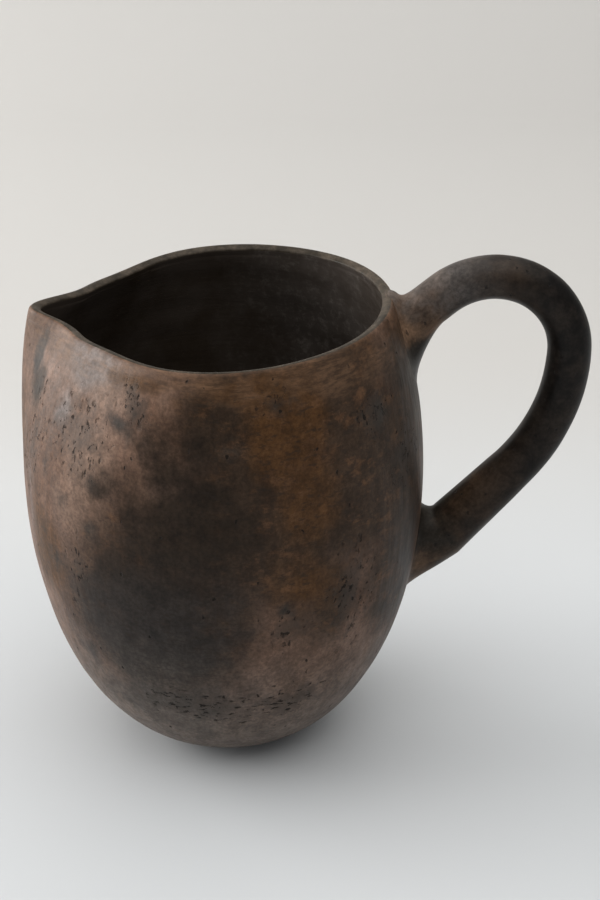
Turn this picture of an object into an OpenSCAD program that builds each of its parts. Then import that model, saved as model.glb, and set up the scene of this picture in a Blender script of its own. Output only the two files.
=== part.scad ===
// Hand-built earthenware pitcher: an egg-shaped body on a small flat foot, a spout
// pulled from the lip on the -X side and a round coil handle on the +X side.
// Millimetres, +Z up. The origin is the centre of the foot, on the floor.

/* [Body] */
// Radius of the flat foot
foot_r = 27; // [20:1:36]
// Radius of the belly at its widest
belly_r = 85.5; // [78:0.5:95]
// Height of the widest point of the belly
belly_z = 124; // [110:1:135]
// Outer radius of the rim
rim_r = 72; // [66:0.5:76]
// Height of the rim above the floor
rim_z = 200; // [185:1:215]
// Fullness of the body's curve: 2 gives an ellipse and more is squarer
fullness = 2.65; // [2:0.05:3.2]
// Thickness of the wall
wall_t = 6; // [4.5:0.5:8]
// Thickness of the base pad
base_t = 8; // [7:0.5:12]

/* [Mouth] */
// Least height of the lip band, above its seam with the wall
lip_h = 10; // [8:0.5:16]
// Rise of the rounded edge on top of the lip
lip_round = 1.6; // [1:0.1:3]
// How much wider the mouth is from front to back, on the radius
mouth_oval = 5; // [0:0.5:8]
// Rise of the rim towards the handle, for each 100 mm
rim_tilt = 3.8; // [0:0.1:6]

/* [Spout] */
// How far the tip is pulled out of the rim
spout_pull = 7.6; // [4:0.2:12]
// Half width of the pulled tip, in degrees round the mouth
spout_half = 9; // [7:0.5:14]
// How far the rim is pressed in beside the spout
pinch_in = 11; // [0:0.5:12]
// Where the rim is pressed in most, in degrees from the tip
pinch_at = 44; // [35:1:55]
// Half width of each pressed hollow, in degrees
pinch_half = 28; // [20:1:32]
// How far the spout's flanks are pressed in, close to the tip
flank_in = 2.6; // [0:0.1:4]
// Where the flanks are pressed in most, in degrees from the tip
flank_at = 20; // [14:1:28]
// How far the spout runs down the wall
spout_run = 60; // [40:1:90]
// Lift of the rim at the tip
spout_lift = 2.6; // [0:0.1:5]

/* [Handle] */
// Radius of the handle coil
handle_r = 9.2; // [7:0.1:11]
// Radius of the coil where the back meets the tail
elbow_r = 9.9; // [7:0.1:12]
// Radius of the coil at its lower end
tail_r = 11.4; // [8:0.1:13]
// Distance of the arch's centre from the pitcher's axis
arch_x = 113.2; // [108:0.5:120]
// Height of the arch's centre
arch_z = 176.4; // [170:0.2:182]
// Radius of the arch, to the middle of the coil
arch_r = 33.4; // [30:0.1:38]
// Radius of the back of the handle, to the middle of the coil
back_r = 80; // [60:0.5:90]
// Slope of the coil as it leaves the rim, above level
lead_rise = 39; // [30:1:50]
// Lean of the straight tail from upright
tail_lean = 43; // [38:1:48]
// Straight length before the arch
lead_len = 5; // [2:0.5:8]
// Straight length of the tail
tail_len = 40; // [30:0.5:42]
// Lean of the tail's end face, as a share of its radius
tail_skew = 0.36; // [0:0.02:0.5]

/* [Roots] */
// Height of the middle of the upper root, where it meets the body
upper_root_z = 184.5; // [180:0.5:186]
// Half height of the upper root on the body
upper_root_h = 16; // [12:0.5:16.5]
// Half width of the upper root on the body
upper_root_w = 21; // [14:0.5:26]
// Height of the middle of the lower root, where it meets the body
lower_root_z = 85; // [80:0.5:92]
// Half height of the lower root on the body
lower_root_h = 21; // [14:0.5:23]
// Half width of the lower root on the body
lower_root_w = 16; // [13:0.5:22]

/* [Hidden] */

sides = 64;        // points round the body
coil_sides = 24;   // points round the handle and its roots
wall_steps = 24;   // rings up each face of the wall
lip_steps = 2;     // rings up each face of the lip, below its rounded edge
edge_steps = 6;    // steps over the rounded edge
root_steps = 7;    // rings from the body to the coil
lift_half = 20;    // half width of the raised tip, in degrees
flank_half = 10;   // half width of the pressing on each flank, in degrees
swell_ease = 1.2;  // how gently the spout starts: 1 is a straight slope
joint_gap = 0.05;  // slip left between a root and the faceted wall
lead_back = 8;     // how far back along the coil a root's curve aims

seam_z = rim_z - lip_h;
low_semi = belly_z / sqrt(1 - pow(foot_r / belly_r, fullness));
top_semi = (rim_z - belly_z) / sqrt(1 - pow(rim_r / belly_r, fullness));
back_x = arch_x + arch_r - back_r;

// Radius at height z of the egg that lies t inside the outer surface
function egg_r(z, t) =
    let (semi = z < belly_z ? low_semi - t : top_semi)
    (belly_r - t) * pow(1 - pow((z - belly_z) / semi, 2), 1 / fullness);

// Degrees from the spout's tip, for a direction round the pitcher
function from_tip(a) = abs(180 - a);

// A smooth hill of height 1, centred on zero
function hill(x, half) = exp(-pow(x / half, 2));

// What the oval mouth, the pulled tip, its flanks and the pressed hollows add to the radius at the rim
function rim_swell(a) =
    mouth_oval * pow(sin(a), 2)
    + spout_pull * hill(from_tip(a), spout_half)
    - flank_in * hill(from_tip(a) - flank_at, flank_half)
    - pinch_in * hill(from_tip(a) - pinch_at, pinch_half);

// How much of that swell is left lower down, at height z
function swell_share(z) = pow(max(0, 1 - (rim_z - z) / spout_run), swell_ease);

function wall_r(a, z, t) = egg_r(z, t) + rim_swell(a) * swell_share(z);

function on_wall(a, z, t) = let (r = wall_r(a, z, t)) [r * cos(a), r * sin(a), z];

// Height of the rim's top, which tilts up to the handle and lifts at the tip
function rim_top(a) = rim_z + rim_tilt / 100 * rim_r * cos(a) + spout_lift * hill(from_tip(a), lift_half);

// One level ring round the body
function body_ring(t, z) = [for (i = [0:sides - 1]) on_wall(360 * i / sides, z, t)];

// One ring of the lip, a share of the way from the seam to the start of the rounded edge
function lip_z(a, share) = seam_z + share * (rim_top(a) - lip_round - seam_z);
function lip_ring(t, share) =
    [for (i = [0:sides - 1]) let (a = 360 * i / sides) on_wall(a, lip_z(a, share), t)];

// One ring of the rounded edge, from the outer face at turn 0 to the inner face at turn 180
function edge_point(a, turn) =
    let (z = lip_z(a, 1),
         outer = wall_r(a, z, 0),
         inner = wall_r(a, z, wall_t),
         r = (outer + inner) / 2 + (outer - inner) / 2 * cos(turn))
    [r * cos(a), r * sin(a), z + lip_round * sin(turn)];
function edge_ring(turn) = [for (i = [0:sides - 1]) edge_point(360 * i / sides, turn)];

// A station on the handle's centre line: x, z, and the heading of travel from rim to belly
function arch_station(q) = [arch_x + arch_r * cos(q), arch_z + arch_r * sin(q), q - 90];
function back_station(q) = [back_x + back_r * cos(q), arch_z + back_r * sin(q), q - 90];
function along(s, d) = [s[0] + d * cos(s[2]), s[1] + d * sin(s[2]), s[2]];
function turned_back(s) = [s[0], s[1], s[2] + 180];

upper_joint = along(arch_station(90 + lead_rise), -lead_len);
lower_joint = along(back_station(-tail_lean), tail_len);

// One ring of the coil, square to the centre line or leaning by skew
function coil_ring(s, r, skew = 0) = [
    for (i = [0:coil_sides - 1])
        let (q = 360 * i / coil_sides, out = r * sin(q), m = along(s, skew * out))
        [m[0] - out * sin(s[2]), r * cos(q), m[1] + out * cos(s[2])]
];

// One ring on the body's outer surface, at a share of a root's full size
function foot_ring(mid_z, half_h, half_w, share) = [
    for (i = [0:coil_sides - 1])
        let (q = 360 * i / coil_sides,
             z = mid_z + share * half_h * sin(q),
             a = asin(share * half_w * cos(q) / egg_r(mid_z, 0)))
        on_wall(a, z, -joint_gap)
];

// A point on the curve that leaves start for aim and arrives at end
function bend(start, aim, end, s) = pow(1 - s, 2) * start + 2 * s * (1 - s) * aim + s * s * end;

// Rings from a root's foot on the body to its joint with the coil
function root_rings(foot, joint, aims) = [
    for (k = [0:root_steps])
        [for (i = [0:coil_sides - 1]) bend(foot[i], aims[i], joint[i], k / root_steps)]
];

// Two triangles for each side of the band between ring a and ring b
function band(n, a, b) = [
    for (j = [0:n - 1])
        let (next = (j + 1) % n)
        each [[n * a + j, n * b + j, n * b + next], [n * a + j, n * b + next, n * a + next]]
];

// A closed ring-shaped solid: the last ring joins back to the first
module hoop(rings) {
    n = len(rings[0]);
    last = len(rings) - 1;
    polyhedron(
        points = [for (ring = rings) each ring],
        faces = [for (k = [0:last]) each band(n, k, (k + 1) % (last + 1))]
    );
}

// A closed bar: its first and last rings are its ends
module bar(rings) {
    n = len(rings[0]);
    last = len(rings) - 1;
    polyhedron(
        points = [for (ring = rings) each ring],
        faces = concat(
            [[for (j = [0:n - 1]) j]],
            [for (k = [0:last - 1]) each band(n, k, k + 1)],
            [[for (j = [n - 1:-1:0]) n * last + j]]
        )
    );
}

// Floor disc: a flat foot below, a flat floor above, and a side that starts the body's curve
module base_pad() {
    side_steps = 6;
    color("#5a4030")
        rotate_extrude($fn = sides)
            polygon(concat(
                [[0, 0]],
                [for (k = [0:side_steps]) let (z = base_t * k / side_steps) [egg_r(z, 0), z]],
                [[0, base_t]]
            ));
}

// Egg-shaped wall, from the base pad up to the level seam under the lip
module body_wall() {
    heights = [for (k = [0:wall_steps]) base_t + (seam_z - base_t) * pow(k / wall_steps, 1.5)];
    color("#6b4a38")
        hoop(concat(
            [for (k = [0:wall_steps]) body_ring(0, heights[k])],
            [for (k = [wall_steps:-1:0]) body_ring(wall_t, heights[k])]
        ));
}

// Band round the mouth, with a rounded edge and the spout's tip
module rim_lip() {
    color("#3c3126")
        hoop(concat(
            [for (k = [0:lip_steps]) lip_ring(0, k / lip_steps)],
            [for (k = [1:edge_steps - 1]) edge_ring(180 * k / edge_steps)],
            [for (k = [lip_steps:-1:0]) lip_ring(wall_t, k / lip_steps)]
        ));
}

// Round coil: a short lead and an arch, then a flatter back and a straight tail that thicken
module handle() {
    arch_steps = 14;
    back_steps = 8;
    arch_end = 90 + lead_rise;
    color("#2c2420")
        bar(concat(
            [coil_ring(upper_joint, handle_r)],
            [for (k = [0:arch_steps]) coil_ring(arch_station(arch_end * (1 - k / arch_steps)), handle_r)],
            [for (k = [1:back_steps])
                let (share = k / back_steps)
                coil_ring(back_station(-tail_lean * share), handle_r + (elbow_r - handle_r) * share)],
            [coil_ring(lower_joint, tail_r, tail_skew)]
        ));
}

// Clay worked out from the coil's end and spread on the body; joint heads away from the body
module root(mid_z, half_h, half_w, joint, r, skew = 0) {
    foot = foot_ring(mid_z, half_h, half_w, 1);
    aims = coil_ring(along(joint, -lead_back), r, skew);
    bar(concat(
        [for (share = [0.05, 0.35, 0.7]) foot_ring(mid_z, half_h, half_w, share)],
        root_rings(foot, coil_ring(joint, r, skew), aims)
    ));
}

// Saddle that joins the coil to the lip and the shoulder
module upper_root() {
    color("#6a4a36")
        root(upper_root_z, upper_root_h, upper_root_w, upper_joint, handle_r);
}

// Stub that joins the coil's tail to the belly
module lower_root() {
    color("#4a362c")
        root(lower_root_z, lower_root_h, lower_root_w, turned_back(lower_joint), tail_r, tail_skew);
}

base_pad();
body_wall();
rim_lip();
handle();
upper_root();
lower_root();
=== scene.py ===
"""A hand-built, burnished and smoke-fired clay pitcher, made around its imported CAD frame.

Metres, in the CAD model's own frame: +Z up, the handle towards +X, the spout towards -X.
The pot is one skin of rings, cut into pad, wall and lip at the CAD model's seams.
"""

import math

import bpy
import numpy as np
from mathutils import Matrix, Vector, noise


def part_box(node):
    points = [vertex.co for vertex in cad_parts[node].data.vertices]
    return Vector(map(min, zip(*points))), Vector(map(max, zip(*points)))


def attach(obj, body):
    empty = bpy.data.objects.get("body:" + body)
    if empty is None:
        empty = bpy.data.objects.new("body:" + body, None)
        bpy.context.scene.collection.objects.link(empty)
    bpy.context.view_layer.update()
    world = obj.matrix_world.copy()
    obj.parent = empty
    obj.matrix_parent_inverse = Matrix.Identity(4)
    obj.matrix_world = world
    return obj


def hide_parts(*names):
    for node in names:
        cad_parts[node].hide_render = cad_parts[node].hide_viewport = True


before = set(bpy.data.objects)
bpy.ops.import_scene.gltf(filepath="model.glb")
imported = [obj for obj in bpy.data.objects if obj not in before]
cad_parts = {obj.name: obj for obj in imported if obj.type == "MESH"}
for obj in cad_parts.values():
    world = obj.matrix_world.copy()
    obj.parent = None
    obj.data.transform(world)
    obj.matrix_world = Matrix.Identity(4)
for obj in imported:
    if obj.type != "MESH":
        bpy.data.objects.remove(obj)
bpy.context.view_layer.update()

MM = 0.001

# ---------------------------------------------------------------- shape, from the frame where it can be
PAD_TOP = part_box("base_pad")[1].z
BELLY_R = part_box("body_wall")[1].y
SEAM_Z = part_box("rim_lip")[0].z

FOOT_R = 27 * MM            # the flat that it stands on
BELLY_Z = 124 * MM          # height of the widest point
RIM_R = 72 * MM             # outer radius at the rim
RIM_Z = SEAM_Z + 10 * MM    # height of the rim on the axis
FULLNESS = 2.65             # 2 is an ellipse, more is squarer
WALL_T = 6 * MM
MOUTH_OVAL = 5 * MM         # extra radius of the mouth, front and back
RIM_TILT = 0.038            # rise of the rim towards the handle
SPOUT_PULL, SPOUT_HALF = 7.6 * MM, 9      # how far the tip is pulled out, and its half width in degrees
FLANK_IN, FLANK_AT, FLANK_HALF = 2.6 * MM, 20, 10   # the spout's flanks, pressed in close to the tip
PINCH_IN, PINCH_AT, PINCH_HALF = 11 * MM, 44, 28    # the hollows beside the spout
SPOUT_RUN = 60 * MM         # how far the spout runs down the wall
SPOUT_EASE = 1.2            # how gently it starts there
SPOUT_LIFT, LIFT_HALF = 2.6 * MM, 20    # rise of the rim at the tip
LIP_DEPTH = 4 * MM          # height that the rounded lip takes up
BEVEL_RING, INSIDE_RING = 12, 19        # first rings of the lip's bevel and of its inside
ROOT_RINGS = 16             # rings of the lip that a root may lie on
FILLET_Z = 20 * MM          # where the inner wall starts to curve into the floor
FOOT_SHARES = (0.02, 0.3, 0.6, 0.85, 0.96)          # sizes of the rings under the pad, middle first
FLOOR_SHARES = (0.9, 0.7, 0.5, 0.3, 0.02)           # and of the rings on its floor, middle last
PROUD = 0.35 * MM           # how far the burnished skin stands outside the egg

ARCH_X, ARCH_Z, ARCH_R = 113.2 * MM, 176.4 * MM, 33.4 * MM
BACK_R = 80 * MM            # the flatter back of the handle
LEAD_RISE, TAIL_LEAN = math.radians(39), math.radians(43)
LEAD_LEN, TAIL_LEN = 5 * MM, 40 * MM
TAIL_SKEW = 0.36            # how far the tail's end face leans, as a share of its radius
COIL_R, ELBOW_R, TAIL_R = 9.2 * MM, 9.9 * MM, 11.4 * MM     # at the arch, the bend and the tail's end

COLUMNS = 416               # points round the pot
CELL = 1.25 * MM            # ring spacing on the outside
COIL_COLUMNS = 64

LOW_SEMI = BELLY_Z / math.sqrt(1 - (FOOT_R / BELLY_R) ** FULLNESS)
TOP_SEMI = (RIM_Z - BELLY_Z) / math.sqrt(1 - (RIM_R / BELLY_R) ** FULLNESS)


def egg_radius(z, inset=0.0):
    """Radius at height z of the egg that lies inset inside the outer surface."""
    semi = np.where(z < BELLY_Z, LOW_SEMI - inset, TOP_SEMI)
    return (BELLY_R - inset) * (1 - ((z - BELLY_Z) / semi) ** 2) ** (1 / FULLNESS)


def hill(x, half):
    return np.exp(-((x / half) ** 2))


def from_tip(angle):
    """Degrees round the mouth from the spout's tip."""
    return np.abs(180 - np.degrees(angle) % 360)


def rim_swell(angle):
    """What the oval mouth, the tip and the hollows beside it add to the rim's radius."""
    away = from_tip(angle)
    oval = MOUTH_OVAL * np.sin(angle) ** 2
    pulled = SPOUT_PULL * hill(away, SPOUT_HALF)
    pressed = FLANK_IN * hill(away - FLANK_AT, FLANK_HALF) + PINCH_IN * hill(away - PINCH_AT, PINCH_HALF)
    return oval + pulled - pressed


def wall_radius(angle, z, inset=0.0):
    share = np.maximum(0, 1 - (RIM_Z - z) / SPOUT_RUN) ** SPOUT_EASE
    return egg_radius(z, inset) + rim_swell(angle) * share


def rim_top(angle):
    return RIM_Z + RIM_TILT * RIM_R * np.cos(angle) + SPOUT_LIFT * hill(from_tip(angle), LIFT_HALF)


def field(points, size, seed):
    """Smooth noise from -1 to 1 at each point, with lumps about size across."""
    shift = Vector((seed * 7.3, seed * 3.1, seed * 5.7))
    flat = (points / size).reshape(-1, 3)
    values = [noise.noise(Vector(p) + shift) for p in flat.tolist()]
    return np.array(values).reshape(points.shape[:-1])


def hand_marks(points):
    """Depth of the hand's marks on the outside: slow swells, and narrow upright burnishing strokes."""
    swells = 0.34 * MM * field(points, 42 * MM, 1) + 0.14 * MM * field(points, 15 * MM, 2)
    strokes = 0.07 * MM * field(points * (1, 1, 0.12), 5.5 * MM, 3)
    return (PROUD + swells + strokes) * np.clip(points[..., 2] / (12 * MM), 0, 1)


def finger_marks(points):
    """Wipe marks on the inside: level ridges that wander."""
    drift = 5 * MM * field(points, 50 * MM, 4)
    ridges = 0.25 * MM * np.sin((points[..., 2] + drift) / (2.2 * MM))
    return ridges * (0.5 + 0.5 * field(points, 30 * MM, 5)) + 0.4 * MM * field(points, 30 * MM, 6)


def ring_points(angle, radius, z):
    z = np.broadcast_to(z, np.broadcast(radius, angle).shape)
    return np.stack([radius * np.cos(angle), radius * np.sin(angle), z], -1)


def b_spline(controls, count):
    """Rows along a cubic B-spline that starts at the first control row and ends at the last."""
    rows = [controls[0]] * 2 + list(controls) + [controls[-1]] * 2
    out = []
    for s in np.linspace(0, len(rows) - 3, count):
        k = min(int(s), len(rows) - 4)
        t = s - k
        weights = ((1 - t) ** 3, 3 * t ** 3 - 6 * t ** 2 + 4,
                   -3 * t ** 3 + 3 * t ** 2 + 3 * t + 1, t ** 3)
        out.append(sum(w * rows[k + i] for i, w in enumerate(weights)) / 6)
    return np.array(out)


def even_heights(low, high, step, inset=0.0):
    """Heights from low to high that are about step apart along the wall's curve."""
    z = np.linspace(low, high, 2000)
    length = np.concatenate([[0], np.cumsum(np.hypot(np.diff(z), np.diff(egg_radius(z, inset))))])
    return np.interp(np.linspace(0, length[-1], round(length[-1] / step) + 1), length, z)


# ---------------------------------------------------------------- the pot's skin, ring by ring
ANGLES = np.linspace(0, 2 * math.pi, COLUMNS, endpoint=False)


def outside_rows(heights):
    rows = np.array([ring_points(ANGLES, wall_radius(ANGLES, z), z) for z in heights])
    return push_out(rows, hand_marks(rows))


def inside_rows(heights):
    rows = np.array([ring_points(ANGLES, wall_radius(ANGLES, z, WALL_T), z) for z in heights])
    return push_out(rows, finger_marks(rows))


def push_out(rows, depth):
    """Moves each point away from the axis by its depth."""
    flat = rows * (1, 1, 0)
    outward = flat / np.maximum(np.linalg.norm(flat, axis=-1, keepdims=True), 1e-9)
    return rows + outward * depth[..., None]


def lip_rows():
    """The lip, from its seam outside, over a rounded shoulder and an inward bevel, to its seam inside."""
    top = rim_top(ANGLES)
    edge = top - LIP_DEPTH
    climb = [SEAM_Z + s * (edge - SEAM_Z) for s in np.linspace(0, 1, 5)[:-1]]
    outer = [ring_points(ANGLES, wall_radius(ANGLES, z), z) for z in climb]
    inner = [ring_points(ANGLES, wall_radius(ANGLES, z, WALL_T), z) for z in climb[::-1]]
    # each control is (face inset, distance in from that face, height from the rim's top)
    controls = [(0, 0, -4), (0, 0, -1.7), (0, 0.1, -0.1), (0, 1.3, 0.45),
                (WALL_T, -1.3, -0.5), (WALL_T, 0, -1.1), (WALL_T, 0, -2.4), (WALL_T, 0, -4)]
    shape = [ring_points(ANGLES, wall_radius(ANGLES, top + h * MM, inset) - d * MM, top + h * MM)
             for inset, d, h in controls]
    rows = np.array(outer + list(b_spline(shape, 22)) + inner)
    marks = hand_marks(rows)
    inward = np.linspace(0, 1, len(rows))[:, None]
    return push_out(rows, marks * (1 - inward) + finger_marks(rows) * inward)


def floor_fillet_rows():
    """Where the inner wall curves into the flat floor."""
    foot_r = 22 * MM
    wall_r = float(egg_radius(FILLET_Z, WALL_T))
    lean = float(egg_radius(FILLET_Z + MM, WALL_T)) - wall_r
    controls = [(wall_r, FILLET_Z), (wall_r - 5 * lean, FILLET_Z - 5 * MM),
                (wall_r - 11 * MM, PAD_TOP + 1.2 * MM), (foot_r + 7 * MM, PAD_TOP), (foot_r, PAD_TOP)]
    shape = [ring_points(ANGLES, np.full(COLUMNS, r), z) for r, z in controls]
    rows = b_spline(shape, 16)
    return push_out(rows, finger_marks(rows) * np.linspace(1, 0, len(rows))[:, None])


pad_side = outside_rows(even_heights(0, PAD_TOP, CELL))
wall_outside = outside_rows(even_heights(PAD_TOP, SEAM_Z, CELL))
lip = lip_rows()
fillet = floor_fillet_rows()
wall_inside = inside_rows(even_heights(FILLET_Z, SEAM_Z, 2.9 * MM, WALL_T)[::-1])
lip[-1] = wall_inside[0]
fillet[0] = wall_inside[-1]


# ---------------------------------------------------------------- meshes
def grid_faces(rows, columns, closed_rows):
    """Quads between each ring and the next, and from the last back to the first where closed_rows."""
    j = np.arange(columns)
    after = (j + 1) % columns
    faces = []
    for k in range(rows if closed_rows else rows - 1):
        a, b = k * columns, (k + 1) % rows * columns
        faces.append(np.stack([a + j, a + after, b + after, b + j], -1))
    return np.concatenate(faces).tolist()


def make_piece(name, rows, closed_rows, zones):
    """A closed solid of rings: a hoop where closed_rows, or else a bar with a flat face at each end."""
    count, columns = rows.shape[:2]
    faces = grid_faces(count, columns, closed_rows)
    firsts = [first for first, _ in zones]
    zone_of = np.repeat(np.searchsorted(firsts, np.arange(count), side="right") - 1, columns)
    indices = zone_of[:len(faces)].tolist()
    if not closed_rows:
        faces.append(list(range(columns))[::-1])
        faces.append([(count - 1) * columns + j for j in range(columns)])
        indices += [0, len(zones) - 1]
    mesh = bpy.data.meshes.new(name)
    mesh.from_pydata(rows.reshape(-1, 3).tolist(), [], faces)
    mesh.polygons.foreach_set("use_smooth", [True] * len(faces))
    mesh.set_sharp_from_angle(angle=math.radians(48))
    for _, material in zones:
        mesh.materials.append(material)
    mesh.polygons.foreach_set("material_index", indices)
    mesh.update()
    piece = bpy.data.objects.new(name, mesh)
    bpy.context.scene.collection.objects.link(piece)
    return piece


def disc_rows(ring, z, shares):
    """Flat rings inside an outer ring, at shares of its size."""
    return [ring * (s, s, 0) + (0, 0, z) for s in shares]


def pad_rows():
    """The base pad: flat foot, side, and flat floor above."""
    under = disc_rows(pad_side[0], 0, FOOT_SHARES)
    above = disc_rows(pad_side[-1], PAD_TOP, FLOOR_SHARES)
    return np.array(under + list(pad_side) + above)


# ---------------------------------------------------------------- the handle and its roots
def along(station, distance):
    x, z, heading = station
    return x + distance * math.cos(heading), z + distance * math.sin(heading), heading


def arc_station(x, r, q):
    """A point of an arc about (x, ARCH_Z), travelled clockwise."""
    return x + r * math.cos(q), ARCH_Z + r * math.sin(q), q - math.pi / 2


def coil_ring(station, radius, skew=0.0):
    """A ring of the coil with the marks of the hand, square to its centre line or leaning by skew."""
    x, z, heading = station
    q = np.linspace(0, 2 * math.pi, COIL_COLUMNS, endpoint=False)
    out = np.sin(q)
    spokes = np.stack([-out * math.sin(heading), np.cos(q), out * math.cos(heading)], -1)
    ring = np.array((x, 0, z)) + radius * spokes
    lumps = 0.16 * MM * field(ring, 26 * MM, 7) + 0.06 * MM * field(ring, 8 * MM, 8)
    lean = skew * radius * out[:, None] * (math.cos(heading), 0, math.sin(heading))
    return ring + spokes * lumps[:, None] + lean


LEAD_END = along(arc_station(ARCH_X, ARCH_R, math.pi / 2 + LEAD_RISE), -LEAD_LEN)
BACK_X = ARCH_X + ARCH_R - BACK_R
TAIL_END = along(arc_station(BACK_X, BACK_R, -TAIL_LEAN), TAIL_LEN)


def handle_rows():
    rows = [coil_ring(along(LEAD_END, d), COIL_R) for d in np.arange(0, LEAD_LEN, CELL)]
    arch_turn = math.pi / 2 + LEAD_RISE
    for q in np.linspace(arch_turn, 0, round(arch_turn * ARCH_R / CELL)):
        rows.append(coil_ring(arc_station(ARCH_X, ARCH_R, q), COIL_R))
    for q in np.linspace(0, -TAIL_LEAN, round(TAIL_LEAN * BACK_R / CELL))[1:]:
        radius = COIL_R - (ELBOW_R - COIL_R) * q / TAIL_LEAN
        rows.append(coil_ring(arc_station(BACK_X, BACK_R, q), radius))
    tail_start = arc_station(BACK_X, BACK_R, -TAIL_LEAN)
    for s in np.linspace(0, 1, round(TAIL_LEN / CELL))[1:]:
        radius = ELBOW_R + (TAIL_R - ELBOW_R) * s
        rows.append(coil_ring(along(tail_start, s * TAIL_LEN), radius, s * TAIL_SKEW))
    return np.array(rows)


skin = np.concatenate([wall_outside, lip[1:ROOT_RINGS]])
skin_length = np.concatenate([[0], np.cumsum(np.linalg.norm(np.diff(skin[:, 0], axis=0), axis=-1))])


def on_skin(angle, length, depth=0.0):
    """A point of the outside at an angle and a length up the skin, sunk by depth towards the axis."""
    row = np.interp(length, skin_length, np.arange(len(skin)))
    column = (angle / (2 * math.pi) * COLUMNS) % COLUMNS
    r0, c0 = np.minimum(row.astype(int), len(skin) - 2), np.minimum(column.astype(int), COLUMNS - 1)
    fr, fc = (row - r0)[..., None], (column - c0)[..., None]
    c1 = (c0 + 1) % COLUMNS
    low = skin[r0, c0] * (1 - fc) + skin[r0, c1] * fc
    high = skin[r0 + 1, c0] * (1 - fc) + skin[r0 + 1, c1] * fc
    point = low * (1 - fr) + high * fr
    flat = point * (1, 1, 0)
    return point - flat / np.linalg.norm(flat, axis=-1, keepdims=True) * depth


def foot_ring(low, high, half_width, share, depth):
    """A ring on the skin round a root: low and high are lengths up the skin."""
    q = np.linspace(0, 2 * math.pi, COIL_COLUMNS, endpoint=False)
    length = (low + high) / 2 + share * (high - low) / 2 * np.sin(q)
    return on_skin(share * half_width / BELLY_R * np.cos(q), length, depth)


def root_rows(low, high, half_width, end, heading, reach, run):
    """A root's rings: under the skin, out along it, round a fillet and up to the coil's end ring.

    reach is how far the root hugs the skin, and run how far the coil's line goes on into it:
    both are pairs, for the top and for the underside.
    """
    sunk = [foot_ring(low, high, half_width, s, 1.5 * MM) for s in (0.05, 0.5, 0.9)]
    foot = foot_ring(low, high, half_width, 1.0, 0.12 * MM)
    nearer = foot_ring(low, high, half_width, 0.96, 0.12 * MM)
    slope = (nearer - foot) / np.linalg.norm(nearer - foot, axis=-1, keepdims=True)
    underness = 0.5 - 0.5 * np.sin(np.linspace(0, 2 * math.pi, COIL_COLUMNS, endpoint=False))[:, None]
    hug = foot + slope * (reach[0] + (reach[1] - reach[0]) * underness)
    line = end - np.array(heading) * (run[0] + (run[1] - run[0]) * underness)
    rows = b_spline([foot, hug, line, end], 30)
    swell = 0.25 * MM * field(rows, 12 * MM, 9)
    fade = np.sin(np.linspace(0, math.pi, len(rows)))[:, None]
    middle = rows.mean(axis=1, keepdims=True)
    outward = (rows - middle) / np.linalg.norm(rows - middle, axis=-1, keepdims=True)
    rows = rows + outward * (swell * fade)[..., None]
    return np.concatenate([np.array(sunk), rows])


def skin_at(z):
    """Length up the skin of height z, on the handle's side."""
    return float(np.interp(z, skin[:, 0, 2], skin_length))


# ---------------------------------------------------------------- materials
# Clouds are (angle round the pot, height in mm, half width in mm, half height in mm, strength).
# Angles run from 0 at the handle, through 90 at the back and 180 at the spout, to 270 at the front.
SMOKE = [
    (335, 188, 20, 16, 1.3), (258, 164, 24, 26, 0.85), (260, 138, 36, 32, 1.25), (248, 106, 48, 26, 1.2),
    (249, 84, 46, 36, 1.2), (247, 52, 44, 28, 0.8), (336, 120, 24, 80, 0.55), (343, 124, 12, 30, 0.6),
    (354, 176, 26, 26, 1.2), (237, 152, 12, 7, 0.7), (300, 132, 10, 12, 0.3), (222, 66, 12, 26, 0.6),
    (30, 150, 50, 46, 1.1), (58, 92, 46, 50, 1.0), (100, 172, 40, 26, 0.8), (118, 60, 46, 34, 1.0),
    (150, 120, 24, 44, 0.8), (5, 50, 34, 30, 0.9), (2, 86, 24, 28, 0.9),
]
SMUDGES = [
    (192, 186, 4.5, 12, 2.4), (196, 171, 5, 8, 0.9), (286.5, 101, 6, 5, 1.2), (240, 176, 11, 6, 1.1),
    (231, 150, 7, 6, 0.6), (320, 173, 7, 10, 1.0), (246, 182, 6, 8, 0.6), (272, 172, 9, 7, 0.6),
    (222, 138, 8, 7, 0.7), (232, 130, 8, 8, 0.9), (217, 108, 8, 10, 0.7), (243, 172, 5, 8, 0.7),
    (328, 150, 6, 9, 0.6), (283, 52, 9, 8, 0.6), (300, 46, 10, 6, 0.6),
    (212, 150, 5, 12, 0.6), (285, 186, 9, 5, 0.7), (262, 44, 12, 8, 0.5), (310, 110, 6, 10, 0.5),
    (60, 150, 9, 12, 0.9), (95, 100, 10, 8, 0.8), (140, 60, 9, 9, 0.8), (120, 170, 8, 9, 0.8),
]
BROWN = [
    (300, 190, 40, 30, 1.3), (318, 150, 44, 44, 1.3), (330, 100, 30, 40, 1.0), (285, 130, 30, 34, 1.0),
    (345, 170, 30, 34, 1.2), (278, 180, 30, 34, 1.2), (300, 100, 24, 30, 0.7), (195, 173, 8, 12, 0.9),
    (276, 140, 30, 40, 1.3), (250, 100, 60, 60, 0.8),
    (0, 186, 30, 26, 1.3), (20, 150, 60, 60, 1.2), (90, 110, 60, 60, 0.9),
]
BARE = [
    (2, 193, 18, 12, 1.0), (237, 141, 10, 7, 0.8), (225, 118, 12, 8, 0.8), (262, 196, 34, 9, 1.1),
    (242, 164, 12, 6, 0.8),
]
PALE = [
    (229, 156, 19, 32, 1.05), (224, 138, 14, 16, 0.8), (234, 184, 16, 12, 0.9), (219, 184, 10, 14, 0.6),
    (80, 170, 24, 24, 0.9),
]
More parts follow.
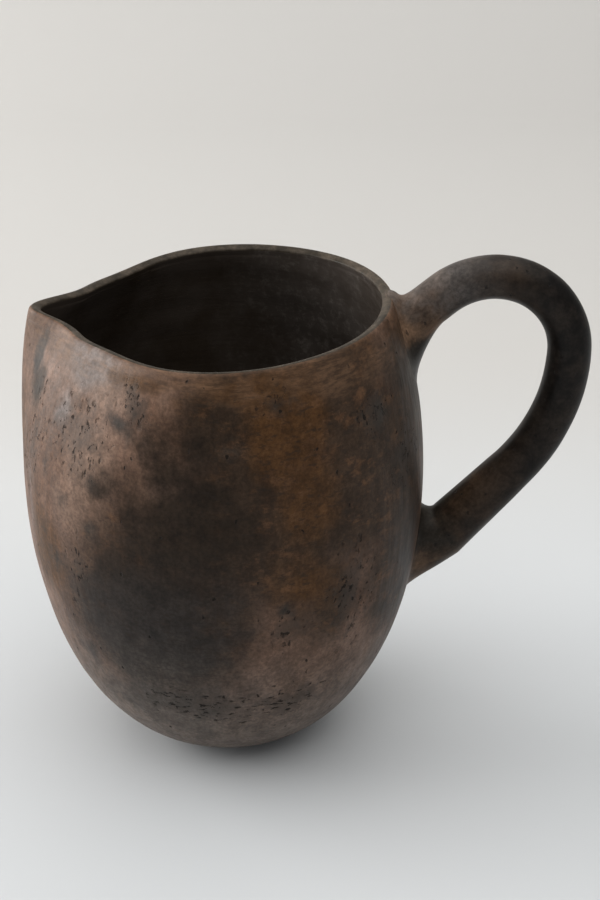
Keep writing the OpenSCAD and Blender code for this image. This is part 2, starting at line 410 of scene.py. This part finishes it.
# Patches of painted sheen: a grey highlight painted into the colour, mostly near the rim on the spout
# side.
PAINTED_SHEEN = [
    (224, 193, 26, 10, 1.1), (214, 174, 9, 14, 0.6), (200, 128, 6, 30, 0.4), (130, 185, 24, 12, 0.9),
]
ORANGE = [
    (289, 176, 24, 34, 1.1), (282, 193, 30, 9, 1.1), (294, 150, 18, 34, 0.8), (292, 112, 26, 22, 0.6),
    (294, 62, 24, 30, 0.35), (211, 108, 22, 34, 0.8), (187, 150, 16, 30, 0.6), (246, 193, 24, 6, 0.7),
    (75, 150, 24, 34, 0.9), (128, 140, 20, 40, 0.9), (85, 50, 30, 30, 0.7), (165, 80, 30, 40, 0.8),
]
# Painted shade in the creases where the coil meets its upper and lower roots.
CREASE_SHADE = [(0, 176, 60, 15, 1.4), (0, 102, 60, 24, 1.1)]
PITTED = [
    (222, 168, 34, 26, 0.9), (202, 150, 20, 40, 0.8), (244, 184, 12, 14, 0.9), (288, 94, 10, 16, 1.0),
    (291, 50, 22, 14, 1.1), (308, 100, 22, 44, 0.9), (318, 174, 12, 12, 1.0), (262, 50, 34, 14, 1.2),
    (330, 150, 20, 24, 0.7), (226, 112, 10, 30, 0.7), (286, 190, 20, 8, 0.5),
    (60, 130, 40, 30, 0.9), (110, 90, 40, 30, 0.9), (150, 160, 26, 26, 0.8), (30, 80, 30, 30, 0.8),
]


def add_node(tree, kind, inputs, **settings):
    """A node with its settings, its input links and its input values."""
    item = tree.nodes.new("ShaderNode" + kind)
    for key, value in settings.items():
        setattr(item, key, value)
    for key, value in inputs.items():
        if isinstance(value, bpy.types.NodeSocket):
            tree.links.new(value, item.inputs[key])
        else:
            item.inputs[key].default_value = value
    return item


def maths(tree, operation, *values):
    return add_node(tree, "Math", dict(enumerate(values)), operation=operation).outputs[0]


def vector_maths(tree, operation, *values):
    item = add_node(tree, "VectorMath", dict(enumerate(values)), operation=operation)
    return item.outputs["Value" if operation == "LENGTH" else "Vector"]


def remap(tree, value, low, high, to_low=0.0, to_high=1.0):
    """Takes low to to_low and high to to_high, smoothly and no further."""
    inputs = {"Value": value, "From Min": low, "From Max": high, "To Min": to_low, "To Max": to_high}
    return add_node(tree, "MapRange", inputs, interpolation_type="SMOOTHSTEP").outputs["Result"]


def blend(tree, share, first, second):
    """Colour that goes from first to second by share."""
    inputs = {0: share, 6: first, 7: second}
    return add_node(tree, "Mix", inputs, data_type="RGBA").outputs[2]


def paint(colour):
    return (*colour, 1.0)


def stretch(tree, vector, scale):
    return add_node(tree, "Mapping", {"Vector": vector, "Scale": scale}).outputs[0]


def grain(tree, vector, size, detail=2.0, rough=0.5):
    """Noise about 0.5 whose lumps are about size across."""
    inputs = {"Vector": vector, "Scale": 1 / size, "Detail": detail, "Roughness": rough}
    return add_node(tree, "TexNoise", inputs).outputs["Fac"]


def warp(tree, vector, size, amount):
    """The vector, pushed about by noise with lumps of size."""
    push = add_node(tree, "TexNoise", {"Vector": vector, "Scale": 1 / size, "Detail": 3.0})
    centred = vector_maths(tree, "SUBTRACT", push.outputs["Color"], (0.5, 0.5, 0.5))
    return vector_maths(tree, "MULTIPLY_ADD", centred, (amount, amount, amount), vector)


def on_cylinder(tree, vector):
    """The vector, moved level to a cylinder of the belly's radius."""
    unit = vector_maths(tree, "NORMALIZE", vector_maths(tree, "MULTIPLY", vector, (1, 1, 0)))
    ring = vector_maths(tree, "MULTIPLY", unit, (BELLY_R, BELLY_R, 0))
    return vector_maths(tree, "MULTIPLY_ADD", vector, (0, 0, 1), ring)


def cloud_field(tree, vector, clouds):
    """The strongest cloud at each point: its strength in its middle, 0 at its edge, less outside."""
    spot = on_cylinder(tree, vector)
    best = -1.0
    for angle, height, half_width, half_height, strength in clouds:
        turn = math.radians(angle)
        middle = (BELLY_R * math.cos(turn), BELLY_R * math.sin(turn), height * MM)
        spread = BELLY_R / float(egg_radius(height * MM))
        scale = [1 / (size * MM) for size in (half_width * spread, half_width * spread, half_height)]
        shift = [-m * s for m, s in zip(middle, scale)]
        reach = vector_maths(tree, "LENGTH", vector_maths(tree, "MULTIPLY_ADD", spot, scale, shift))
        best = maths(tree, "MAXIMUM", best, maths(tree, "MULTIPLY_ADD", reach, -strength, strength))
    return best


def ragged(tree, field, vector, size, amount, low, high):
    """A mask from a cloud field, with its edge broken up by noise."""
    centred = maths(tree, "SUBTRACT", grain(tree, vector, size, 6.0, 0.7), 0.5)
    broken = maths(tree, "ADD", field, maths(tree, "MULTIPLY", centred, amount))
    return remap(tree, broken, low, high)


def pits(tree, vector, cell, radius, tall):
    """Dark flecks about radius x cell wide, tall times as high as wide: 1 in a pit and 0 outside."""
    bent = warp(tree, warp(tree, vector, 5 * MM, 3 * MM), 1.1 * MM, 0.9 * MM)
    inputs = {"Vector": stretch(tree, bent, (1, 1, 1 / tall)), "Scale": 1 / cell, "Randomness": 1.0}
    away = add_node(tree, "TexVoronoi", inputs).outputs["Distance"]
    edge = maths(tree, "MULTIPLY_ADD", grain(tree, vector, 0.16 * cell, 3.0, 0.7), 1.6 * radius, away)
    return remap(tree, edge, 1.8 * radius, 1.3 * radius)


def new_clay(name):
    """An empty clay material: its tree, its shader and the object's own coordinates."""
    material = bpy.data.materials.new(name)
    material.use_nodes = True
    tree = material.node_tree
    place = add_node(tree, "TexCoord", {}).outputs["Object"]
    return material, tree, tree.nodes["Principled BSDF"], place


def finish_clay(tree, shader, colour, rough, height):
    """Links a clay's colour, roughness and height in mm."""
    tree.links.new(colour, shader.inputs["Base Color"])
    tree.links.new(rough, shader.inputs["Roughness"])
    shader.inputs["Specular IOR Level"].default_value = 0.12
    bump = add_node(tree, "Bump", {"Height": height, "Distance": MM, "Strength": 1.0})
    tree.links.new(bump.outputs["Normal"], shader.inputs["Normal"])


def mottled(tree, vector, colour):
    """The colour, broken up by coarse and fine grain."""
    coarse = remap(tree, grain(tree, vector, 8 * MM, 5.0, 0.65), 0.32, 0.68, 0.72, 1.24)
    fine = remap(tree, grain(tree, vector, 1.5 * MM, 4.0, 0.65), 0.3, 0.7, 0.74, 1.22)
    upright = stretch(tree, vector, (1, 1, 0.08))
    brushed = remap(tree, grain(tree, upright, 2.4 * MM, 3.0, 0.6), 0.3, 0.7, 0.93, 1.06)
    both = maths(tree, "MULTIPLY", maths(tree, "MULTIPLY", coarse, fine), brushed)
    return add_node(tree, "HueSaturation", {"Color": colour, "Value": both}).outputs[0]


def fired_colour(tree, place, bent):
    """The fired clay's colour with patches of painted sheen, and how brown or orange the fire has made
    it.
    """
    tones = remap(tree, grain(tree, place, 34 * MM, 5.0, 0.55), 0.36, 0.64)
    colour = blend(tree, tones, paint((0.115, 0.063, 0.040)), paint((0.165, 0.102, 0.074)))
    pale = ragged(tree, cloud_field(tree, bent, PALE), place, 12 * MM, 0.8, 0.0, 0.7)
    colour = blend(tree, maths(tree, "MULTIPLY", pale, 0.75), colour, paint((0.205, 0.133, 0.097)))
    fired = ragged(tree, cloud_field(tree, bent, BROWN), place, 16 * MM, 0.6, 0.0, 0.5)
    colour = blend(tree, fired, colour, paint((0.045, 0.0268, 0.0163)))
    # Painted sheen: these patches are lightened to grey as a painted highlight.
    sheen = ragged(tree, cloud_field(tree, bent, PAINTED_SHEEN), place, 8 * MM, 0.9, 0.0, 0.7)
    colour = blend(tree, maths(tree, "MULTIPLY", sheen, 0.7), colour, paint((0.190, 0.170, 0.165)))
    flush = ragged(tree, cloud_field(tree, bent, ORANGE), place, 14 * MM, 0.7, 0.05, 0.6)
    colour = blend(tree, flush, colour, paint((0.078, 0.036, 0.0130)))
    browned = maths(tree, "MAXIMUM", fired, flush)
    warm_grain = grain(tree, stretch(tree, place, (0.6, 0.6, 1)), 6 * MM, 5.0, 0.7)
    warm = remap(tree, warm_grain, 0.50, 0.66, 0.0, 0.65)
    colour = blend(tree, maths(tree, "MULTIPLY", warm, browned), colour, paint((0.118, 0.058, 0.028)))
    return colour, browned


def smoked(tree, place, bent, up, colour):
    """The colour under smoke clouds and smudges, with the smoke greyer low down and the foot lighter and
    greyer as a painted reflection of the floor.
    """
    smoke_clouds = cloud_field(tree, bent, SMOKE)
    bare_clouds = maths(tree, "MAXIMUM", cloud_field(tree, bent, BARE), 0.0)
    smoke_clouds = maths(tree, "SUBTRACT", smoke_clouds, bare_clouds)
    smoke = ragged(tree, smoke_clouds, place, 10 * MM, 1.5, -0.3, 0.85)
    # The smoke is real soot, painted greyer towards the bottom as a reflection of the floor below.
    lower = remap(tree, up, 135 * MM, 95 * MM)
    soot_and_floor_reflection = blend(tree, lower, paint((0.0190, 0.0122, 0.0075)), paint((0.0265, 0.0225, 0.0205)))
    colour = blend(tree, maths(tree, "MULTIPLY", smoke, 0.93), colour, soot_and_floor_reflection)
    marks = cloud_field(tree, warp(tree, place, 9 * MM, 4 * MM), SMUDGES)
    smudge = ragged(tree, marks, place, 5 * MM, 1.5, 0.0, 1.2)
    colour = blend(tree, maths(tree, "MULTIPLY", smudge, 0.85), colour, paint((0.027, 0.026, 0.0235)))
    # Painted reflection: the foot is painted lighter and greyer, as if lit by the pale floor.
    floor_reflection = remap(tree, up, 95 * MM, 15 * MM, 0.0, 0.8)
    return blend(tree, floor_reflection, colour, paint((0.126, 0.107, 0.092)))


def flecked(tree, place, browned, colour):
    """The colour with short dark flecks where the clay is browned."""
    fleck_grain = grain(tree, stretch(tree, place, (0.4, 0.4, 1)), 1.7 * MM, 4.0, 0.68)
    flecks = remap(tree, fleck_grain, 0.52, 0.66, 0.0, 0.6)
    return blend(tree, maths(tree, "MULTIPLY", flecks, browned), colour, paint((0.022, 0.016, 0.012)))


def worn_rim(tree, place, up, colour):
    """The colour with the wiped and worn band below the rim."""
    band = remap(tree, up, 182 * MM, 195 * MM)
    wipe_grain = grain(tree, stretch(tree, place, (0.24, 0.24, 1)), 1.5 * MM, 5.0, 0.74)
    wipes = remap(tree, wipe_grain, 0.38, 0.64)
    worn = blend(tree, wipes, paint((0.072, 0.043, 0.027)), paint((0.190, 0.108, 0.062)))
    patchy = remap(tree, grain(tree, place, 17 * MM, 3.0, 0.6), 0.38, 0.6, 0.15, 0.6)
    return blend(tree, maths(tree, "MULTIPLY", band, patchy), colour, worn)


def hollows(tree, place, pitted, up):
    """Pits: 1 in a pit and 0 outside. They are upright on the belly and level near the foot."""
    cluster = ragged(tree, pitted, place, 6 * MM, 1.7, 0.2, 0.6)
    crumbs = grain(tree, stretch(tree, place, (1, 1, 0.6)), 2.1 * MM, 3.0, 0.62)
    flat_crumbs = grain(tree, stretch(tree, place, (0.45, 0.45, 1)), 1.8 * MM, 3.0, 0.62)
    low = remap(tree, up, 80 * MM, 60 * MM)
    large = pits(tree, place, 4.6 * MM, 0.17, 2.0)
    upright = maths(tree, "MAXIMUM", remap(tree, crumbs, 0.590, 0.645), large)
    upright = maths(tree, "MULTIPLY", upright, maths(tree, "SUBTRACT", 1.0, low))
    level = maths(tree, "MULTIPLY", remap(tree, flat_crumbs, 0.580, 0.635), low)
    gathered = maths(tree, "MULTIPLY", maths(tree, "MAXIMUM", upright, level), cluster)
    return maths(tree, "MAXIMUM", gathered, pits(tree, place, 7 * MM, 0.09, 2.0))


def outside_clay():
    """Burnished clay with smoke clouds, orange flushes, pits and the strokes of the burnishing stone."""
    material, tree, shader, place = new_clay("outside_clay")
    bent = warp(tree, place, 26 * MM, 22 * MM)
    up = add_node(tree, "SeparateXYZ", {0: bent}).outputs["Z"]
    colour, browned = fired_colour(tree, place, bent)
    colour = mottled(tree, place, smoked(tree, place, bent, up, colour))
    colour = worn_rim(tree, place, up, flecked(tree, place, browned, colour))

    pitted = cloud_field(tree, bent, PITTED)
    hollow = hollows(tree, place, pitted, up)
    stain = ragged(tree, pitted, place, 4.5 * MM, 1.6, 0.35, 0.8)
    colour = blend(tree, maths(tree, "MULTIPLY", stain, 0.5), colour, paint((0.045, 0.036, 0.030)))
    colour = blend(tree, maths(tree, "MULTIPLY", hollow, 0.85), colour, paint((0.010, 0.008, 0.0065)))

    strokes = grain(tree, stretch(tree, place, (1, 1, 0.09)), 2.2 * MM, 3.0, 0.6)
    skin_grain = maths(tree, "MULTIPLY", grain(tree, place, 0.8 * MM, 3.0, 0.6), 0.04)
    height = maths(tree, "ADD", maths(tree, "MULTIPLY", strokes, 0.09), skin_grain)
    height = maths(tree, "SUBTRACT", height, maths(tree, "MULTIPLY", hollow, 0.35))
    rough = remap(tree, strokes, 0.3, 0.7, 0.40, 0.52)
    rough = maths(tree, "ADD", rough, maths(tree, "MULTIPLY", hollow, 0.3))
    finish_clay(tree, shader, colour, rough, height)
    return material


def inside_clay():
    """The sooted inside, with pale specks and level wipe marks."""
    material, tree, shader, place = new_clay("inside_clay")
    tones = remap(tree, grain(tree, place, 30 * MM, 4.0, 0.6), 0.35, 0.65)
    colour = blend(tree, tones, paint((0.030, 0.0215, 0.0145)), paint((0.048, 0.038, 0.031)))
    across = add_node(tree, "SeparateXYZ", {0: place}).outputs["X"]
    # Paler towards the handle side: lighter patches and pale specks that fade out towards the spout.
    toward_handle = remap(tree, across, -15 * MM, 50 * MM, 0.04, 0.7)
    specks = remap(tree, grain(tree, place, 3.4 * MM, 5.0, 0.75), 0.46, 0.72)
    patches = remap(tree, grain(tree, place, 26 * MM, 3.0, 0.6), 0.36, 0.60, 0.25, 1.0)
    colour = blend(tree, maths(tree, "MULTIPLY", patches, toward_handle), colour, paint((0.082, 0.070, 0.062)))
    pale = maths(tree, "MULTIPLY", maths(tree, "MULTIPLY", specks, patches), toward_handle)
    colour = blend(tree, pale, colour, paint((0.150, 0.132, 0.118)))
    wipes = grain(tree, stretch(tree, place, (0.12, 0.12, 1)), 1.8 * MM, 3.0, 0.6)
    height = maths(tree, "MULTIPLY", wipes, 0.12)
    finish_clay(tree, shader, colour, remap(tree, wipes, 0.3, 0.7, 0.5, 0.68), height)
    return material


def rim_clay():
    """The lip's bevel: worn olive-brown clay over soot."""
    material, tree, shader, place = new_clay("rim_clay")
    tones = remap(tree, grain(tree, place, 9 * MM, 4.0, 0.6), 0.36, 0.64)
    colour = blend(tree, tones, paint((0.034, 0.027, 0.019)), paint((0.078, 0.062, 0.047)))
    colour = mottled(tree, place, colour)
    skin_grain = grain(tree, place, 0.9 * MM, 3.0, 0.6)
    height = maths(tree, "MULTIPLY", skin_grain, 0.06)
    finish_clay(tree, shader, colour, remap(tree, tones, 0.0, 1.0, 0.42, 0.55), height)
    return material


def handle_clay():
    """The handle's black smoke, browner near the pot, with painted shade in the creases at its roots and
    a painted sheen on its top by the upper root.
    """
    material, tree, shader, place = new_clay("handle_clay")
    tones = remap(tree, grain(tree, place, 16 * MM, 5.0, 0.6), 0.36, 0.64)
    colour = blend(tree, tones, paint((0.0085, 0.0072, 0.0065)), paint((0.020, 0.0155, 0.0125)))
    patches = remap(tree, grain(tree, place, 13 * MM, 4.0, 0.6), 0.30, 0.66, 0.25, 1.0)
    centred = maths(tree, "SUBTRACT", grain(tree, place, 12 * MM, 4.0, 0.6), 0.5)
    wander = maths(tree, "MULTIPLY", centred, 26 * MM)
    spot = add_node(tree, "SeparateXYZ", {0: place})
    across, up = (maths(tree, "ADD", spot.outputs[axis], wander) for axis in "XZ")
    brown = maths(tree, "MULTIPLY", remap(tree, across, 138 * MM, 92 * MM), patches)
    colour = blend(tree, brown, colour, paint((0.058, 0.036, 0.022)))
    tan = maths(tree, "MULTIPLY", remap(tree, across, 97 * MM, 84 * MM), patches)
    colour = blend(tree, tan, colour, paint((0.145, 0.088, 0.055)))
    # Painted shade: darker in the creases where the coil meets its roots, close to the pot.
    near = remap(tree, across, 104 * MM, 92 * MM)
    shaded = ragged(tree, cloud_field(tree, place, CREASE_SHADE), place, 7 * MM, 0.8, 0.1, 0.6)
    colour = blend(tree, maths(tree, "MULTIPLY", shaded, near), colour, paint((0.022, 0.018, 0.014)))
    # Painted sheen: the top of the coil by the upper root is painted grey as a highlight from above.
    on_top = remap(tree, up, 192 * MM, 206 * MM)
    top_sheen = maths(tree, "MULTIPLY", on_top, remap(tree, across, 122 * MM, 100 * MM))
    colour = blend(tree, maths(tree, "MULTIPLY", top_sheen, 0.75), colour, paint((0.082, 0.074, 0.070)))
    colour = mottled(tree, place, colour)
    stray = pits(tree, place, 6 * MM, 0.12, 1.5)
    colour = blend(tree, maths(tree, "MULTIPLY", stray, 0.6), colour, paint((0.004, 0.004, 0.004)))
    skin_grain = maths(tree, "MULTIPLY", grain(tree, place, 1.1 * MM, 3.0, 0.6), 0.05)
    height = maths(tree, "SUBTRACT", skin_grain, maths(tree, "MULTIPLY", stray, 0.25))
    finish_clay(tree, shader, colour, remap(tree, tones, 0.0, 1.0, 0.36, 0.48), height)
    return material


# ---------------------------------------------------------------- pieces
def add_piece(name, node, rows, closed_rows, zones):
    """A piece that stands for a CAD node. zones are (first ring, material), from the first ring on."""
    piece = make_piece(name, rows, closed_rows, zones)
    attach(piece, "root")
    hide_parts(node)


outside, inside, rim, coil = outside_clay(), inside_clay(), rim_clay(), handle_clay()
wall_skin = np.concatenate([wall_outside, wall_inside, fillet[1:]])
crest = skin_length[-1]
lead_turn, tail_turn = LEAD_END[2], TAIL_END[2] + math.pi
upper = root_rows(skin_at(160 * MM), crest, 23 * MM, coil_ring(LEAD_END, COIL_R),
                  (math.cos(lead_turn), 0, math.sin(lead_turn)), (4 * MM, 10 * MM), (10 * MM, 5 * MM))
tail_ring = coil_ring(TAIL_END, TAIL_R, TAIL_SKEW)
lower = root_rows(skin_at(60 * MM), skin_at(109 * MM), 17 * MM, np.roll(tail_ring[::-1], 1, axis=0),
                  (math.cos(tail_turn), 0, math.sin(tail_turn)), (4 * MM, 5 * MM), (3 * MM, 2 * MM))

pad = pad_rows()
pad_edge = len(pad) - len(FLOOR_SHARES) - 1
wall_edge = len(wall_outside) - 1
add_piece("pad_clay", "base_pad", pad, False, [(0, outside), (pad_edge, inside)])
add_piece("wall_clay", "body_wall", wall_skin, True, [(0, outside), (wall_edge, inside)])
add_piece("lip_clay", "rim_lip", lip, True,
          [(0, outside), (BEVEL_RING, rim), (INSIDE_RING, inside)])
add_piece("handle_clay", "handle", handle_rows(), False, [(0, coil)])
add_piece("upper_root_clay", "upper_root", upper, False, [(0, coil)])
add_piece("lower_root_clay", "lower_root", lower, False, [(0, coil)])


# ---------------------------------------------------------------- studio
def studio_white():
    """Pale floor paint, cool by the pot and warmer towards the backdrop."""
    material = bpy.data.materials.new("studio_white")
    material.use_nodes = True
    tree = material.node_tree
    place = add_node(tree, "TexCoord", {}).outputs["Object"]
    away = add_node(tree, "SeparateXYZ", {0: place}).outputs["Y"]
    back = remap(tree, away, 0.05, 0.45)
    colour = blend(tree, back, paint((0.625, 0.650, 0.672)), paint((0.575, 0.569, 0.556)))
    shader = tree.nodes["Principled BSDF"]
    tree.links.new(colour, shader.inputs["Base Color"])
    shader.inputs["Roughness"].default_value = 0.5
    return material


def area_light(name, place, target, size, power, colour):
    lamp = bpy.data.lights.new(name, "AREA")
    lamp.shape = "RECTANGLE"
    lamp.size, lamp.size_y = size
    lamp.energy = power
    lamp.color = colour
    thing = bpy.data.objects.new(name, lamp)
    thing.location = place
    thing.rotation_euler = (Vector(target) - Vector(place)).to_track_quat("-Z", "Y").to_euler()
    bpy.context.scene.collection.objects.link(thing)


def sweep(material):
    """A pale floor that curves up into the backdrop."""
    bend, back, top, side = 0.5, 1.6, 2.4, 3.0
    turns = np.linspace(0, math.pi / 2, 25)
    arc = [(back - bend + bend * math.sin(q), bend - bend * math.cos(q)) for q in turns]
    profile = [(-2.5, 0)] + arc + [(back, top)]
    points = [(x, y, z) for y, z in profile for x in (-side, side)]
    faces = [(2 * k, 2 * k + 1, 2 * k + 3, 2 * k + 2) for k in range(len(profile) - 1)]
    mesh = bpy.data.meshes.new("sweep")
    mesh.from_pydata(points, [], faces)
    mesh.polygons.foreach_set("use_smooth", [True] * len(faces))
    mesh.materials.append(material)
    thing = bpy.data.objects.new("sweep", mesh)
    bpy.context.scene.collection.objects.link(thing)


sweep(studio_white())
area_light("window", (-2.3, 0.55, 0.75), (0.3, -0.5, 0.1), (2.2, 1.5), 77, (1.0, 0.98, 0.955))
area_light("ceiling", (0.3, -0.4, 2.2), (0.15, -0.45, 0), (3.2, 3.2), 54, (1.0, 0.98, 0.95))

world = bpy.data.worlds.new("room")
world.use_nodes = True
world.node_tree.nodes["Background"].inputs["Color"].default_value = (0.8, 0.8, 0.8, 1)
world.node_tree.nodes["Background"].inputs["Strength"].default_value = 0.32
bpy.context.scene.world = world
bpy.context.scene.view_settings.view_transform = "Standard"

camera = bpy.data.objects.new("camera", bpy.data.cameras.new("camera"))
camera.data.sensor_fit = "VERTICAL"
camera.data.sensor_height = 36
camera.data.lens = 64
camera.location = (0.013, -0.624, 0.431)
turns = ((-1.8, "Z"), (64.4, "X"), (-0.18, "Z"))
yaw, tilt, roll = (Matrix.Rotation(math.radians(degrees), 3, axis) for degrees, axis in turns)
camera.rotation_euler = (yaw @ tilt @ roll).to_euler()
bpy.context.scene.collection.objects.link(camera)
bpy.context.scene.camera = camera
